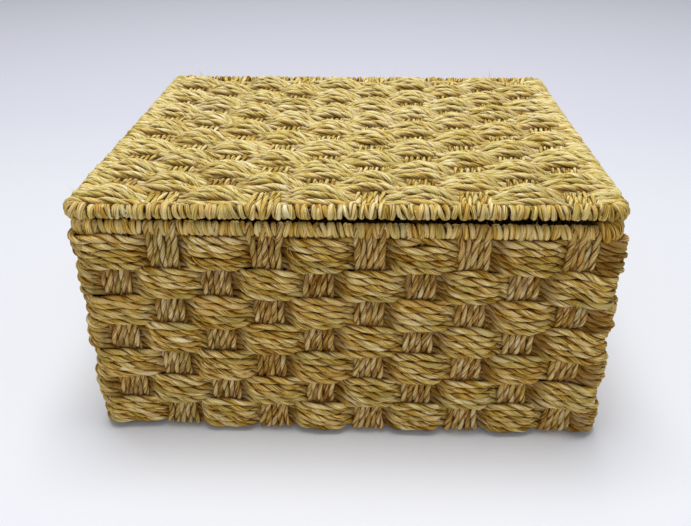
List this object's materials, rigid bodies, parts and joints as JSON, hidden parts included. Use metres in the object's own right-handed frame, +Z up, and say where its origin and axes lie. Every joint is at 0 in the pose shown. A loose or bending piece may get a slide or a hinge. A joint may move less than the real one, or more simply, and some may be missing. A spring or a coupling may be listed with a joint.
{
  "type": "woven lidded box",
  "caption": "Rectangular box woven from flat bundles of twisted seagrass cord, with a flat woven lid on a wire frame that swings up on cord lashings at the back.",
  "frame": {"origin": "centre of the box's outline at the level of its underside", "axes": "+X along the width, +Y from the front to the hinged back, +Z up"},
  "size_m": [0.34, 0.3, 0.171],
  "materials": {
    "seagrass_stakes": "dry twisted seagrass cord, greyer",
    "seagrass_wall": "dry twisted seagrass cord, olive straw",
    "seagrass_lid": "dry twisted seagrass cord, pale straw",
    "seagrass_binding": "wound seagrass cord",
    "frame_wire": "dull dark wire"
  },
  "bodies": {
    "box": {"rim_wire": "frame_wire", "rim_binding_front": "seagrass_binding", "rim_binding_back": "seagrass_binding", "long_stake_1": "seagrass_stakes", "long_stake_2": "seagrass_stakes", "long_stake_3": "seagrass_stakes", "long_stake_4": "seagrass_stakes", "long_stake_5": "seagrass_stakes", "long_stake_6": "seagrass_stakes", "long_stake_7": "seagrass_stakes", "long_stake_8": "seagrass_stakes", "long_stake_9": "seagrass_stakes", "long_stake_10": "seagrass_stakes", "cross_stake_1": "seagrass_stakes", "cross_stake_2": "seagrass_stakes", "cross_stake_3": "seagrass_stakes", "cross_stake_4": "seagrass_stakes", "cross_stake_5": "seagrass_stakes", "cross_stake_6": "seagrass_stakes", "cross_stake_7": "seagrass_stakes", "cross_stake_8": "seagrass_stakes", "cross_stake_9": "seagrass_stakes", "wall_weaver_1": "seagrass_wall", "wall_weaver_2": "seagrass_wall", "wall_weaver_3": "seagrass_wall", "wall_weaver_4": "seagrass_wall", "wall_weaver_5": "seagrass_wall", "wall_weaver_6": "seagrass_wall", "wall_weaver_7": "seagrass_wall", "hinge_lashing_left": "seagrass_binding", "hinge_lashing_right": "seagrass_binding"},
    "lid": {"lid_wire": "frame_wire", "lid_binding_front": "seagrass_binding", "lid_binding_back": "seagrass_binding", "lid_stake_1": "seagrass_stakes", "lid_stake_2": "seagrass_stakes", "lid_stake_3": "seagrass_stakes", "lid_stake_4": "seagrass_stakes", "lid_stake_5": "seagrass_stakes", "lid_stake_6": "seagrass_stakes", "lid_stake_7": "seagrass_stakes", "lid_stake_8": "seagrass_stakes", "lid_stake_9": "seagrass_stakes", "lid_stake_10": "seagrass_stakes", "lid_weaver_1": "seagrass_lid", "lid_weaver_2": "seagrass_lid", "lid_weaver_3": "seagrass_lid", "lid_weaver_4": "seagrass_lid", "lid_weaver_5": "seagrass_lid", "lid_weaver_6": "seagrass_lid", "lid_weaver_7": "seagrass_lid", "lid_weaver_8": "seagrass_lid", "lid_weaver_9": "seagrass_lid", "lid_weaver_10": "seagrass_lid", "lid_weaver_11": "seagrass_lid", "lid_weaver_12": "seagrass_lid", "lid_weaver_13": "seagrass_lid"}
  },
  "joints": [
    {"name": "lid_hinge", "type": "hinge", "parent": "box", "child": "lid", "pos_m": [0, 0.1444, 0.1647], "axis": [-1, 0, 0], "range_deg": [0, 190]}
  ]
}
